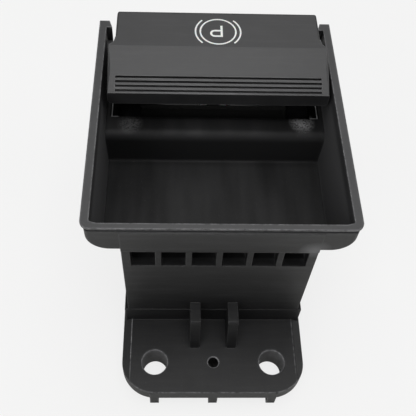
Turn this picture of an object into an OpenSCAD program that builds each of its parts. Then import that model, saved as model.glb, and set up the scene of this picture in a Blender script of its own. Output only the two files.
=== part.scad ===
// Electric parking brake switch: a console tray with a finger well and a pull lever across
// its rear, a hollow neck with a two-hole foot below the front edge, and the switch
// mechanism under the lever. Origin: midway between the two foot holes, on the seating
// plane. +X to the right, +Y to the rear of the tray, +Z up. All sizes in millimetres.

/* [Tray] */
// Width over the tray rim
tray_w = 70; // [68:0.5:74]
// Height of the rim above the seating plane of the foot
rim_height = 61.8; // [58:0.2:66]
// Side wall thickness at the rim
side_t = 2.2; // [1.8:0.1:2.6]
// Front wall thickness at the rim
front_t = 1.7; // [1.4:0.1:2.2]
// Wall and floor thickness below the rim
wall_t = 2; // [1.6:0.1:2.2]
// Depth of the finger well
well_d = 25.2; // [24:0.2:27]
// Front edge of the tray to the rear wall of the well
well_len = 40.5; // [38:0.5:42]
// Height of the front skirt
skirt_h = 10.5; // [9.5:0.5:11.5]
// Radius of the lower corners of the skirt
skirt_r = 6; // [4:0.5:7]
// Depth of the ledge and the deck under the lever, below the rim
ledge_drop = 13.4; // [12.8:0.2:14]
// Length of the ledge behind the well
ledge_len = 7.1; // [6:0.1:8]
// Length of the lever bay, from the ledge to the open rear
bay_len = 26.6; // [25:0.2:29]
// Groove under the rim lip, depth
rim_groove_d = 0.7; // [0.4:0.1:1]

/* [Neck and foot] */
// Width of the neck
neck_w = 51; // [48:0.5:54]
// Number of pockets across the top of the neck
pocket_n = 6; // [4:1:7]
// Height of the pockets
pocket_h = 7.3; // [6:0.1:8]
// Width of a pocket
pocket_w = 6.4; // [5.6:0.1:6.6]
// Thickness of the ribs between the pockets
pocket_rib = 1.6; // [1.2:0.1:1.8]
// Width of the foot at its lower edge
foot_w = 54.2; // [52:0.2:58]
// Hole centres to the front edge of the foot
foot_front = 9.25; // [8:0.25:11]
// Front corner radius of the foot
foot_r = 10; // [7:0.5:11]
// Height of the foot plate above the seating plane
foot_top = 9.3; // [8.5:0.1:10]
// Height of the skirt round the foot plate
foot_skirt = 4.6; // [3.5:0.1:5.5]
// Distance between the two foot holes
hole_pitch = 34.8; // [32:0.2:37]
// Diameter of the foot holes
hole_dia = 7.4; // [6:0.1:8]
// Diameter of the small hole between them
pilot_dia = 2.9; // [2.5:0.1:3.5]
// Hole centres to the front face of the neck
hole_setback = 14; // [13:0.25:16]
// Height of the two upright webs on the foot
web_h = 11.7; // [9:0.1:14]
// Distance between the two upright webs
web_pitch = 11; // [9:0.5:13]

/* [Lever] */
// Side gap between the front of the lever and the tray wall
lever_gap = 1.3; // [1.1:0.05:1.6]
// Side play of the lever on its axle, taken up to the right
lever_play = 0.35; // [0:0.05:0.4]
// Height of the top of the lever above the rim
lever_rise = 5; // [4:0.2:6]
// Thickness of the lip of the lever
lip_t = 4.5; // [4:0.1:5]
// Number of grip grooves
groove_n = 4; // [2:1:4]
// Groove to groove distance
groove_pitch = 1.33; // [1.2:0.01:1.5]
// Width of a groove
groove_w = 0.7; // [0.5:0.05:0.8]
// Depth of a groove
groove_d = 0.8; // [0.4:0.1:1]
// Outer diameter of the circle of the symbol
ring_dia = 10.8; // [9:0.2:11.6]
// Diameter of the axle
axle_dia = 3; // [2.6:0.1:3.4]

/* [Hidden] */
$fn = 64;
eps = 0.01;
seam = 0.1;

// Tray frame: zero at the middle of the front edge of the rim, +Y rearwards, +Z up.
tray_len = well_len + ledge_len + bay_len;
lip_half = tray_w / 2 - side_t - lever_gap;
head_half = lip_half - 1.85;
cheek_half = head_half + 1.5;
inner_half = tray_w / 2 - side_t;
floor_half = inner_half - 0.6;
body_half = tray_w / 2 - rim_groove_d - 0.2;
rim_lip_h = 0.6;
rim_groove_end = 1.6;
corner_r = 2.4;
body_bottom = -(well_d + wall_t);
bay_front = well_len + wall_t;
deck_front = well_len + ledge_len;
deck_z = -ledge_drop;
deck_under = deck_z - wall_t;
slope_start = 4.5;
slope_tan = 0.568;
slope_y = (-body_bottom - slope_start) * slope_tan;
foot_plate_z = foot_top - rim_height;
seat_z = -rim_height;
hole_y = -hole_setback;

skirt_edge = 1.2;

pivot_y = tray_len - 6.7;
pivot_z = -6.3;
axle_r = axle_dia / 2;
bore_r = axle_r + 0.05;
crease_y = tray_len - 16;
lip_y = tray_len - 29.3;
lip_top = lever_rise - 5.5;
lip_bottom = lip_top - lip_t;
rear_y = tray_len - 0.8;
skin_t = 2;
cover_wall = 1.8;
cover_low = -3.6;
symbol_y = tray_len - 9.7;
slope_a = atan2(lever_rise - lip_top, crease_y - lip_y);
slope_len = sqrt(pow(crease_y - lip_y, 2) + pow(lever_rise - lip_top, 2));

frame_half = head_half - cover_wall - 0.1;
arm_t = 2.8;
arm_x = frame_half - arm_t / 2;
curtain_r = 14.6;
curtain_t = 1.2;
curtain_low = deck_z - 3.6;

plate_top = deck_under - 4.7;
plate_t = 1.6;
plate_under = plate_top - plate_t;
pin_y = pivot_y - 5;
pin_z = plate_top - 2.9;
pin_r = 1.2;
slot_r = pin_r + 0.16;

screw_r = 1.25;
screw_head_r = 2.5;
screw_x = floor_half - 4.2;
screw_front_y = bay_front + 2.7;
screw_rear_y = tray_len - 5.2;
case_half = screw_x - screw_head_r - 1.5;
case_front = deck_front - 1.1;
case_rear = tray_len - 2.6;
case_t = 1.5;
board_top = plate_under - 6.8;
board_t = 1.6;
board_low = board_top - board_t;
board_half = case_half - case_t - 0.5;
case_low = board_low - 4.1;
slide_y = pin_y;
slider_half = 8;
slider_len = 10;
slider_t = 1.2;
slider_low = board_top + 0.9;
slider_top = slider_low + slider_t;
ear_top = plate_top - 0.8;
wiper_pitch = 5.4;
lamp_x = 13.1;
lamp_y = pivot_y - 4.8;
pin_n = 6;
pin_pitch = 2.5;
contact_y = case_rear - 3;
contact_z = board_low - 0.8;
shroud_half = 10.5;
shroud_top = board_top + 0.7;
spring_r = axle_r + 0.9;
guide_w = 16;
guide_l = 12;
guide_drop = 0.8;
pad_w = 3.2;

// Colours of the pieces
black_plastic = [0.13, 0.13, 0.135];
dark_plastic = [0.2, 0.2, 0.21];
white_plastic = [0.93, 0.93, 0.92];
clear_plastic = [0.85, 0.9, 0.92];
steel_grey = [0.7, 0.71, 0.73];
spring_grey = [0.55, 0.56, 0.58];
copper_tone = [0.78, 0.5, 0.3];
tin_tone = [0.8, 0.79, 0.72];
board_green = [0.1, 0.35, 0.2];
rubber_black = [0.07, 0.07, 0.07];

// Moves a piece from the tray frame to the seating frame of the foot
module seat_frame() {
    translate([0, hole_setback, rim_height])
        children();
}

// Moves a piece of the lever the same way, with the side play of the lever taken up
module lever_place() {
    seat_frame()
        translate([lever_play, 0, 0])
            children();
}

// Extrudes a profile drawn in the Y-Z plane over the width w, centred on x
module across(w, x = 0) {
    translate([x - w / 2, 0, 0])
        rotate([90, 0, 90])
            linear_extrude(w)
                children();
}

// Extrudes a profile drawn in the X-Z plane from y0 to y1
module along(y0, y1) {
    translate([0, y1, 0])
        rotate([90, 0, 0])
            linear_extrude(y1 - y0)
                children();
}

// Cylinder along X, centred on x
module bar_x(r, w, x, y, z) {
    translate([x - w / 2, y, z])
        rotate([0, 90, 0])
            cylinder(r = r, h = w);
}

// Box between two corners, symmetric in X
module slab(half, y0, y1, z0, z1) {
    translate([-half, y0, z0])
        cube([2 * half, y1 - y0, z1 - z0]);
}

// Plan outline with two rounded front corners
module front_plan(half, y0, y1, r) {
    translate([-half, y0 + r])
        square([2 * half, y1 - y0 - r]);
    translate([-half + r, y0])
        square([2 * (half - r), r + seam]);
    for (s = [-1, 1])
        translate([s * (half - r), y0 + r])
            circle(r);
}

// Side profile of the tray body, with the sloping front below the skirt
module body_side() {
    polygon([
        [seam, -rim_groove_end],
        [seam, -slope_start],
        [seam + slope_y, body_bottom],
        [tray_len, body_bottom],
        [tray_len, -rim_groove_end]
    ]);
}

// Side profile of the hollow above the deck and inside the well
module hollow_side() {
    slope_in = front_t + (well_d - slope_start) * slope_tan;
    polygon([
        [front_t, seam],
        [front_t, -slope_start + front_t],
        [slope_in + 0.6, -well_d],
        [well_len, -well_d],
        [well_len, deck_z],
        [tray_len + seam, deck_z],
        [tray_len + seam, seam]
    ]);
    shoulder_r = 2.6;
    difference() {
        translate([well_len - seam, deck_z - shoulder_r])
            square([shoulder_r + seam, shoulder_r + seam]);
        translate([well_len + shoulder_r, deck_z - shoulder_r])
            circle(shoulder_r);
        translate([well_len + shoulder_r, deck_z - 2 * shoulder_r])
            square(3 * shoulder_r);
    }
}

// Rim lip, groove, skirt and body of the tray, still solid
module tray_solid() {
    translate([0, 0, -rim_lip_h])
        linear_extrude(rim_lip_h)
            front_plan(tray_w / 2, 0, tray_len, corner_r);
    translate([0, 0, -rim_groove_end])
        linear_extrude(rim_groove_end - rim_lip_h + seam)
            front_plan(tray_w / 2 - rim_groove_d - 0.3, rim_groove_d, tray_len, corner_r);
    intersection() {
        across(2 * body_half)
            body_side();
        translate([0, 0, body_bottom])
            linear_extrude(-body_bottom)
                front_plan(body_half, 0, tray_len, corner_r);
    }
    skirt();
}

// Sharp corner left outside a rounding of radius r, to be cut away
module corner_waste(r) {
    difference() {
        square(r + seam);
        circle(r);
    }
}

// Front skirt with two large lower corners and a rounded front edge all round
module skirt() {
    half = body_half;
    corner_x = half - skirt_r;
    corner_z = -skirt_h + skirt_r;
    top = -rim_groove_end + seam;
    difference() {
        union() {
            slab(corner_x, 0, wall_t, corner_z - seam, top);
            across(2 * corner_x)
                difference() {
                    translate([0, -skirt_h])
                        square([wall_t, skirt_r]);
                    translate([skirt_edge, -skirt_h + skirt_edge])
                        rotate(180)
                            corner_waste(skirt_edge);
                }
            for (s = [-1, 1]) {
                scale([s, 1, 1])
                    translate([0, 0, corner_z])
                        linear_extrude(top - corner_z)
                            difference() {
                                translate([corner_x - seam, 0])
                                    square([skirt_r + seam, wall_t]);
                                translate([half - skirt_edge, skirt_edge])
                                    rotate(-90)
                                        corner_waste(skirt_edge);
                            }
                translate([s * corner_x, 0, corner_z])
                    rotate([-90, 0, 0])
                        rotate_extrude()
                            difference() {
                                square([skirt_r, wall_t]);
                                translate([skirt_r - skirt_edge, skirt_edge])
                                    rotate(-90)
                                        corner_waste(skirt_edge);
                            }
            }
        }
        slab(tray_w, -1, wall_t + 1, top, skirt_r);
    }
}

// Drafted hollow of the tray
module tray_hollow() {
    intersection() {
        across(tray_w)
            hollow_side();
        along(-1, tray_len + 1)
            polygon([
                [-inner_half, 1],
                [-inner_half, 0],
                [-floor_half, -well_d - 1],
                [floor_half, -well_d - 1],
                [inner_half, 0],
                [inner_half, 1]
            ]);
        translate([0, 0, -well_d - 1])
            linear_extrude(well_d + 2)
                front_plan(tray_w / 2, front_t, tray_len + 1, corner_r + side_t);
    }
}

// Cheeks at the open rear, and the bearing blocks of the axle in front of them
module cheeks() {
    cheek_y = tray_len - 2.8;
    block_r = 3.4;
    block_t = inner_half + 1 - cheek_half;
    for (s = [-1, 1]) {
        scale([s, 1, 1])
            translate([0, 0, deck_z - seam])
                linear_extrude(-deck_z + seam)
                    polygon([
                        [cheek_half, cheek_y],
                        [inner_half + 1, cheek_y],
                        [inner_half + 1, tray_len],
                        [cheek_half + 0.9, tray_len]
                    ]);
        bar_x(block_r, block_t, s * (cheek_half + block_t / 2), pivot_y, pivot_z);
        across(block_t, s * (cheek_half + block_t / 2))
            translate([pivot_y - block_r + seam, deck_z - seam])
                square([cheek_y - pivot_y + block_r, pivot_z - deck_z + seam]);
    }
}

// Space under the deck for the switch case, and the openings in the deck
module bay_cuts() {
    slab(floor_half, bay_front, tray_len - wall_t, body_bottom - 1, deck_under);
    slab(frame_half + 0.9, deck_front, crease_y, deck_under - 1, deck_z + 1);
    slab(16.5, crease_y - 1, tray_len - 2.5, deck_under - 1, deck_z + 1);
    slab(shroud_half + 0.4, case_rear - 1, tray_len + 1,
         min(body_bottom, shroud_top) - 1, shroud_top + 0.2);
}

// Bosses under the ledge and the deck for the screws of the switch case
module deck_bosses() {
    for (s = [-1, 1], y = [screw_front_y, screw_rear_y])
        translate([s * screw_x, y, plate_top + 0.05])
            cylinder(r = screw_head_r + 0.1, h = deck_under - plate_top + seam);
}

// Blind holes of those bosses
module deck_boss_holes() {
    for (s = [-1, 1], y = [screw_front_y, screw_rear_y])
        translate([s * screw_x, y, plate_top - 1])
            cylinder(r = screw_r + 0.03, h = deck_under - plate_top + 2);
}

// Neck panel, side walls, pocket block and inner ribs
module neck() {
    half = neck_w / 2;
    pad_t = 0.35;
    slab(half, 0, wall_t, foot_plate_z, -skirt_h + 1);
    slab(half, -pad_t, seam, -skirt_h, -rim_groove_end);
    across(2 * half)
        pocket_block();
    for (s = [-1, 1])
        across(wall_t, s * (half - wall_t / 2))
            neck_side();
    for (s = [-1, 1])
        across(pocket_rib, s * web_pitch)
            neck_rib();
}

// Side profile of the thick part of the neck that holds the pockets
module pocket_block() {
    block_d = 7;
    top_d = 4.6;
    polygon([
        [seam, -skirt_h + seam],
        [top_d, -skirt_h + seam],
        [block_d, -skirt_h - 5],
        [block_d, block_low_z()],
        [seam, block_low_z()]
    ]);
}

// Side profile of the neck walls
module neck_side() {
    polygon([
        [0, -slope_start - 1],
        [0, foot_plate_z],
        [12, foot_plate_z],
        [12, foot_plate_z + 8],
        [34, body_bottom + seam],
        [slope_y + 1, body_bottom + seam],
        [1, -slope_start - 1]
    ]);
}

// Side profile of the ribs inside the neck
module neck_rib() {
    polygon([
        [seam, block_low_z() + seam],
        [seam, foot_plate_z],
        [8, foot_plate_z],
        [8, foot_plate_z + 6],
        [22, body_bottom + seam],
        [slope_y - 4, body_bottom + seam],
        [5, block_low_z() + seam]
    ]);
}

function block_low_z() = -(skirt_h + 0.8 + pocket_h + wall_t);

// Row of pockets at the top of the neck
module pockets() {
    pitch = pocket_w + pocket_rib;
    depth = 4.8;
    for (k = [0:pocket_n - 1])
        translate([(k - (pocket_n - 1) / 2) * pitch - pocket_w / 2, -1, -skirt_h - 0.8 - pocket_h])
            cube([pocket_w, depth + 1, pocket_h]);
}

// Wider block where the neck stands on the foot
module foot_block() {
    half = neck_w / 2 + 1;
    block_h = 7;
    slab(half, -0.2, wall_t, foot_plate_z - 1, foot_plate_z + block_h);
    for (s = [-1, 1])
        translate([s * (half - 1.5) - 1.5, 0, foot_plate_z - 1])
            cube([3, 10, block_h + 1]);
}

// Plan outline of the foot
module foot_plan(inset = 0) {
    front_plan(foot_w / 2 - inset, hole_y - foot_front + inset, 10 - inset, foot_r - inset);
}

// Foot plate with sloping side borders, hollow below
module foot_plate() {
    border = 2.3;
    border_drop = 1.3;
    plate_th = 2.5;
    difference() {
        intersection() {
            translate([0, 0, foot_plate_z - foot_skirt])
                linear_extrude(foot_skirt)
                    foot_plan();
            along(hole_y - foot_front - 1, 11)
                polygon([
                    [-foot_w / 2 + border, foot_plate_z],
                    [-foot_w / 2, foot_plate_z - border_drop],
                    [-foot_w / 2, foot_plate_z - foot_skirt],
                    [foot_w / 2, foot_plate_z - foot_skirt],
                    [foot_w / 2, foot_plate_z - border_drop],
                    [foot_w / 2 - border, foot_plate_z]
                ]);
        }
        translate([0, 0, foot_plate_z - foot_skirt - 1])
            linear_extrude(foot_skirt - plate_th + 1)
                foot_plan(wall_t);
    }
}

// Bosses and ribs below the foot plate
module foot_bosses() {
    boss_r = hole_dia / 2 + 2.1;
    rib = 2.6;
    top = foot_plate_z - 1;
    front = hole_y - foot_front;
    for (x = [-hole_pitch / 2, hole_pitch / 2])
        translate([x, hole_y, seat_z])
            cylinder(r = boss_r, h = top - seat_z);
    translate([0, hole_y, seat_z])
        cylinder(r = pilot_dia / 2 + 1.8, h = top - seat_z);
    for (x = [-hole_pitch / 2, 0, hole_pitch / 2])
        translate([x - rib / 2, front, seat_z])
            cube([rib, foot_front, top - seat_z]);
    for (x = [-hole_pitch / 2, 0, hole_pitch / 2])
        translate([x - rib / 2, hole_y, foot_plate_z - foot_skirt])
            cube([rib, 10 - hole_y - 1, foot_skirt - 1]);
    translate([-hole_pitch / 2, hole_y - 0.8, foot_plate_z - foot_skirt])
        cube([hole_pitch, 1.6, foot_skirt - 1]);
}

// Foot holes with their small top chamfers
module foot_holes() {
    lead = 0.35;
    for (x = [-hole_pitch / 2, hole_pitch / 2])
        translate([x, hole_y, 0]) {
            translate([0, 0, seat_z - 1])
                cylinder(r = hole_dia / 2, h = foot_top + 2);
            translate([0, 0, foot_plate_z - lead])
                cylinder(r1 = hole_dia / 2, r2 = hole_dia / 2 + lead + eps, h = lead + eps);
        }
    translate([0, hole_y, 0]) {
        translate([0, 0, seat_z - 1])
            cylinder(r = pilot_dia / 2, h = foot_top + 2);
        translate([0, 0, foot_plate_z - lead])
            cylinder(r1 = pilot_dia / 2, r2 = pilot_dia / 2 + lead + eps, h = lead + eps);
    }
}

// Two upright webs between the foot and the neck
module upright_webs() {
    web_t = 3;
    web_top = foot_plate_z + web_h;
    for (s = [-1, 1])
        across(web_t, s * web_pitch / 2)
            polygon([
                [0.5, foot_plate_z - 1],
                [-9.5, foot_plate_z - 1],
                [-9.5, foot_plate_z],
                [-6.7, web_top - 0.5],
                [-6.2, web_top],
                [0.5, web_top]
            ]);
}

// Bores for the axle: blind on the left, through on the right
module axle_bores() {
    bar_x(axle_r + 0.01, 20, -33.4 + 10, pivot_y, pivot_z);
    bar_x(axle_r + 0.01, 20, tray_w / 2 - 8, pivot_y, pivot_z);
}

// The one-piece moulded housing
module tray_housing() {
    color(black_plastic)
        seat_frame() {
            difference() {
                union() {
                    difference() {
                        tray_solid();
                        tray_hollow();
                        bay_cuts();
                    }
                    cheeks();
                    deck_bosses();
                    neck();
                    foot_block();
                    foot_plate();
                    foot_bosses();
                    upright_webs();
                }
                pockets();
                foot_holes();
                deck_boss_holes();
                axle_bores();
            }
        }
}

// Side profile of the lever cover, with a slightly domed slope
module cover_side() {
    r = 1.5;
    dome_r = 90;
    lean = 0.3;
    dy = (crease_y - lip_y) / 2;
    dz = (lever_rise - lip_top) / 2;
    depth = sqrt(dome_r * dome_r - dy * dy - dz * dz);
    intersection() {
        difference() {
            polygon([
                [lip_y - lean * (lever_rise - lip_top) / lip_t, lever_rise],
                [rear_y, lever_rise],
                [rear_y, cover_low],
                [crease_y + 2.5, cover_low],
                [crease_y + 1, lip_bottom],
                [lip_y + lean, lip_bottom]
            ]);
            difference() {
                translate([rear_y - r, lever_rise - r])
                    square(2 * r);
                translate([rear_y - r, lever_rise - r])
                    circle(r);
            }
        }
        translate([lip_y + dy + depth * sin(slope_a), lip_top + dz - depth * cos(slope_a)])
            circle(dome_r, $fn = 360);
    }
}

// Plan outline of the lever cover: narrow head at the rear, wide lip in front
module cover_plan() {
    front = lip_y - 1;
    step_y = crease_y;
    r = 2.2;
    polygon([
        [-lip_half, front],
        [lip_half, front],
        [lip_half, step_y],
        [head_half + 0.35, step_y + 1.6],
        [head_half, step_y + 3.6],
        [head_half, rear_y - r],
        [-head_half, rear_y - r],
        [-head_half, step_y + 3.6],
        [-head_half - 0.35, step_y + 1.6],
        [-lip_half, step_y]
    ]);
    translate([-head_half + r, rear_y - r - seam])
        square([2 * (head_half - r), r + seam]);
    for (s = [-1, 1])
        translate([s * (head_half - r), rear_y - r])
            circle(r);
}

// Side profile of the hollow in the lever cover
module cover_hollow_side() {
    front = lip_y + 2.7;
    top = lever_rise - skin_t;
    polygon([
        [front, lip_bottom - 1],
        [front, lip_top - 0.9],
        [crease_y - 0.8, top],
        [rear_y - cover_wall, top],
        [rear_y - cover_wall, lip_bottom - 1]
    ]);
}

// Flat pieces of the symbol: circle, two brackets and the letter P
module symbol_plan() {
    ring_r = ring_dia / 2;
    stroke = 0.44;
    bracket_r = ring_r + 1.4;
    bracket_a = 46;
    letter = 0.62;
    letter_low = -2.2;
    stem_x = 0.73;
    bowl_r = 1.45;
    bowl_x = -0.9;
    difference() {
        circle(ring_r);
        circle(ring_r - stroke);
    }
    for (s = [0, 180])
        rotate(s)
            intersection() {
                difference() {
                    circle(bracket_r);
                    circle(bracket_r - stroke);
                }
                polygon([
                    [0, 0],
                    [2 * bracket_r * cos(bracket_a), 2 * bracket_r * sin(bracket_a)],
                    [3 * bracket_r, 0],
                    [2 * bracket_r * cos(bracket_a), -2 * bracket_r * sin(bracket_a)]
                ]);
            }
    translate([stem_x, letter_low])
        square([letter, 4.7]);
    translate([bowl_x, letter_low + bowl_r])
        difference() {
            circle(bowl_r);
            circle(bowl_r - letter);
            translate([0, -2 * bowl_r])
                square(4 * bowl_r);
        }
    for (z = [0, 2 * bowl_r - letter])
        translate([bowl_x - seam, letter_low + z])
            square([stem_x - bowl_x + 2 * seam, letter]);
}

// The lever cover with its grip grooves
module lever_cover() {
    symbol_d = 0.5;
    color(black_plastic)
        lever_place()
            difference() {
                intersection() {
                    across(2 * lip_half)
                        cover_side();
                    translate([0, 0, lip_bottom - 1])
                        linear_extrude(lever_rise - lip_bottom + 3)
                            cover_plan();
                }
                across(2 * (head_half - cover_wall))
                    cover_hollow_side();
                for (s = [-1, 1])
                    scale([s, 1, 1])
                        cover_edges();
                translate([0, symbol_y, lever_rise - symbol_d])
                    linear_extrude(symbol_d + 1)
                        symbol_plan();
                translate([-guide_w / 2 - 0.2, symbol_y - guide_l / 2 - 0.2, lever_rise - skin_t - 1])
                    cube([guide_w + 0.4, guide_l + 0.4, skin_t - guide_drop + 1]);
                for (k = [0:groove_n - 1])
                    groove_cut(k);
            }
}

// What is cut away along the right side edges: on the slope, on the head and under the lip
module cover_edges() {
    slope_r = 1;
    head_r = 0.6;
    low_r = 1.5;
    translate([lip_half - slope_r, crease_y, lever_rise])
        rotate([slope_a, 0, 0])
            translate([0, 0, 0.3 - slope_r])
                along(-slope_len - 3, 2)
                    corner_waste(slope_r);
    translate([head_half - head_r, 0, lever_rise - head_r])
        along(crease_y + 3.6, rear_y + 1)
            corner_waste(head_r);
    translate([lip_half - low_r, 0, lip_bottom + low_r])
        along(lip_y - 2, crease_y + 3)
            rotate(-90)
                corner_waste(low_r);
}

// One grip groove, counted from the lip
module groove_cut(k) {
    side = 2.3;
    first = 0.81;
    s = slope_len - first - k * groove_pitch;
    translate([0, crease_y, lever_rise])
        rotate([slope_a, 0, 0])
            translate([-lip_half + side, -s - groove_w / 2, -groove_d])
                cube([2 * (lip_half - side), groove_w, groove_d + 2]);
}

// The white inlay in the top of the lever
module brake_symbol() {
    symbol_d = 0.5;
    color(white_plastic)
        lever_place()
            translate([0, symbol_y, lever_rise - symbol_d])
                linear_extrude(symbol_d)
                    symbol_plan();
}

// Clear plate under the symbol, with a stalk down to the lamp
module light_guide() {
    top = lever_rise - guide_drop;
    arm_z = top - 2.7;
    stalk_w = 3.2;
    stalk_x = lamp_x - stalk_w / 2;
    stalk_low = plate_top + 1.6;
    color(clear_plastic)
        lever_place() {
            translate([-guide_w / 2, symbol_y - guide_l / 2, top - 1.1])
                cube([guide_w, guide_l, 1.1]);
            translate([guide_w / 2 - 1, lamp_y - 2.2, arm_z])
                cube([stalk_x + stalk_w + 0.5 - guide_w / 2 + 1, 4.4, 1.5]);
            translate([guide_w / 4, lamp_y - 2.2, arm_z])
                cube([guide_w / 4, 4.4, 1.7]);
            translate([stalk_x, lamp_y - 1.7, stalk_low])
                cube([stalk_w, 3.4, arm_z + seam - stalk_low]);
        }
}

// Profile of the bent sheet of the lever frame
module frame_sheet() {
    top = lever_rise - skin_t - 0.1;
    sheet = 1.6;
    web_y = crease_y + 0.4;
    polygon([
        [lip_y + 2.8, lip_bottom + 0.1],
        [web_y + sheet, lip_bottom + 0.1],
        [web_y + sheet, top - sheet],
        [rear_y - cover_wall - 0.2, top - sheet],
        [rear_y - cover_wall - 0.2, top],
        [web_y, top],
        [web_y, lip_bottom + 0.1 + sheet],
        [lip_y + 2.8, lip_bottom + 0.1 + sheet]
    ]);
}

// Profile of one bearing arm of the lever frame
module arm_side() {
    top = lever_rise - skin_t - 0.1;
    polygon([
        [crease_y + 1.4, top],
        [rear_y - cover_wall - 0.2, top],
        [rear_y - cover_wall - 0.2, pivot_z - 2.2],
        [pivot_y + 1, pivot_z - 3.6],
        [crease_y + 1.4, pivot_z - 3.1]
    ]);
}

// Profile of the tongue that moves the slider
module tongue_side() {
    top = lever_rise - skin_t - 0.1;
    polygon([
        [pivot_y - 5.2, top - 0.5],
        [pivot_y + 3.6, top - 0.5],
        [pivot_y + 3.6, pivot_z],
        [pin_y + 1.7, pin_z],
        [pin_y - 1.7, pin_z],
        [pivot_y - 4, pivot_z - 2]
    ]);
    translate([pin_y, pin_z])
        circle(1.7);
}

// Profile of the dust curtain below the sheet, round the axis of the lever
module curtain_side() {
    big = 3 * curtain_r;
    difference() {
        translate([pivot_y, pivot_z])
            circle(curtain_r);
        translate([pivot_y, pivot_z])
            circle(curtain_r - curtain_t);
        translate([pivot_y - big / 2, lip_bottom + 0.6])
            square(big);
        translate([pivot_y - big / 2, curtain_low - big])
            square(big);
        translate([pivot_y - 2, pivot_z - big / 2])
            square(big);
    }
}

// Inner frame of the lever: sheet, two bearing arms, curtain, tongue and drive pin
module lever_frame() {
    tongue_t = 2.6;
    slot_low = -1;
    color(dark_plastic)
        lever_place()
            difference() {
                union() {
                    across(2 * frame_half)
                        frame_sheet();
                    for (s = [-1, 1])
                        across(arm_t, s * arm_x)
                            arm_side();
                    across(2 * frame_half - 0.6)
                        curtain_side();
                    across(tongue_t)
                        tongue_side();
                    bar_x(pin_r, 8.4, 0, pin_y, pin_z);
                }
                bar_x(bore_r, tray_w, 0, pivot_y, pivot_z);
                translate([guide_w / 4 - 0.2, lamp_y - 2.4, slot_low])
                    cube([lamp_x + 2.5 - guide_w / 4, 4.8, lever_rise - slot_low]);
            }
}

// Steel axle of the lever
module lever_axle() {
    left_end = -33.3;
    right_end = body_half - 0.1;
    color(steel_grey)
        seat_frame()
            bar_x(axle_r, right_end - left_end, (left_end + right_end) / 2, pivot_y, pivot_z);
}

// Torsion spring along X as one closed mesh, with a straight leg at each end
module torsion_spring(turns, pitch, mean_r, wire_r, leg_down, leg_up) {
    segs = 20;
    sides = 8;
    n = turns * segs;
    ring = function(x, a, dz) [
        for (j = [0:sides - 1])
            let (
                b = 360 * j / sides,
                rr = mean_r + wire_r * cos(b)
            )
            [x + wire_r * sin(b), rr * cos(a), rr * sin(a) + dz]
    ];
    rings = concat(
        [ring(0, 0, -leg_down)],
        [for (i = [0:n]) ring(pitch * i / segs, 360 * i / segs, 0)],
        [ring(pitch * turns, 0, leg_up)]
    );
    pts = [for (r = rings, p = r) p];
    last = len(rings) - 1;
    walls = [
        for (i = [0:last - 1], j = [0:sides - 1])
            [
                i * sides + j,
                i * sides + (j + 1) % sides,
                (i + 1) * sides + (j + 1) % sides,
                (i + 1) * sides + j
            ]
    ];
    start = [[for (j = [sides - 1:-1:0]) j]];
    finish = [[for (j = [0:sides - 1]) last * sides + j]];
    polyhedron(points = pts, faces = concat(start, walls, finish));
}

// Return spring: coil round the axle with a leg on the deck and a leg under the frame
module return_spring() {
    torsion_spring(
        turns = 4,
        pitch = 1,
        mean_r = spring_r,
        wire_r = 0.4,
        leg_down = pivot_z - deck_z - 0.3,
        leg_up = lever_rise - skin_t - 2.8 - pivot_z
    );
}

module right_return_spring() {
    color(spring_grey)
        seat_frame()
            translate([head_half - 10.2, pivot_y, pivot_z])
                return_spring();
}

module left_return_spring() {
    color(spring_grey)
        seat_frame()
            translate([-head_half + 6.2, pivot_y, pivot_z])
                return_spring();
}

// Rubber pads that stop the lever when it is pushed down
module push_stop_pads() {
    top = pivot_z - 4.45;
    color(rubber_black)
        seat_frame()
            for (s = [-1, 1])
                translate([s * arm_x - pad_w / 2, crease_y + 1.2, deck_z])
                    cube([pad_w, 2.4, top - deck_z]);
}

// Rubber pads that stop the lever when it is pulled up
module pull_stop_pads() {
    top = pivot_z - 3.5;
    color(rubber_black)
        seat_frame()
            for (s = [-1, 1])
                translate([s * arm_x - pad_w / 2, tray_len - 4.4, deck_z])
                    cube([pad_w, 2, top - deck_z]);
}

// Slider moved by the drive pin of the lever
module slider() {
    ear_t = 2.2;
    ear_l = 6;
    ear_x = 2;
    slot_low = pin_z - 0.9;
    color(white_plastic)
        seat_frame()
            difference() {
                union() {
                    slab(slider_half, slide_y - slider_len / 2, slide_y + slider_len / 2,
                         slider_low, slider_top);
                    for (s = [-1, 1])
                        translate([s * (ear_x + ear_t / 2) - ear_t / 2, slide_y - ear_l / 2, slider_top - seam])
                            cube([ear_t, ear_l, ear_top - slider_top + seam]);
                }
                slab(slider_half + 0.5, slide_y - slot_r, slide_y + slot_r, slot_low, ear_top + 1);
                bar_x(slot_r, 2 * slider_half + 1, 0, slide_y, slot_low);
            }
}

// Sprung copper wipers under the slider
module wiper_contacts() {
    strip_w = 1.2;
    strip_t = 0.2;
    bead_r = 0.35;
    color(copper_tone)
        seat_frame()
            for (x = [-wiper_pitch, 0, wiper_pitch])
                translate([x - strip_w / 2, slide_y, 0]) {
                    translate([0, -3, slider_low - strip_t])
                        cube([strip_w, 6, strip_t]);
                    for (s = [-1, 1])
                        translate([0, s * 2.4, board_top + 0.1 + bead_r])
                            rotate([0, 90, 0])
                                cylinder(r = bead_r, h = strip_w, $fn = 24);
                }
}

// Copper tracks that the wipers run on
module contact_tracks() {
    track_w = 1.8;
    color(copper_tone)
        seat_frame()
            for (x = [-wiper_pitch, 0, wiper_pitch])
                translate([x - track_w / 2, slide_y - slider_len / 2 - 1.8, board_top])
                    cube([track_w, slider_len + 2.2, 0.05]);
}

// Circuit board
module circuit_board() {
    color(board_green)
        seat_frame()
            difference() {
                slab(board_half, case_front + 2, case_rear - 2, board_low, board_top);
                for (k = [0:pin_n - 1])
                    translate([(k - (pin_n - 1) / 2) * pin_pitch, contact_y, board_low - 1])
                        cylinder(r = 0.36, h = board_t + 2, $fn = 24);
            }
}

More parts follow.
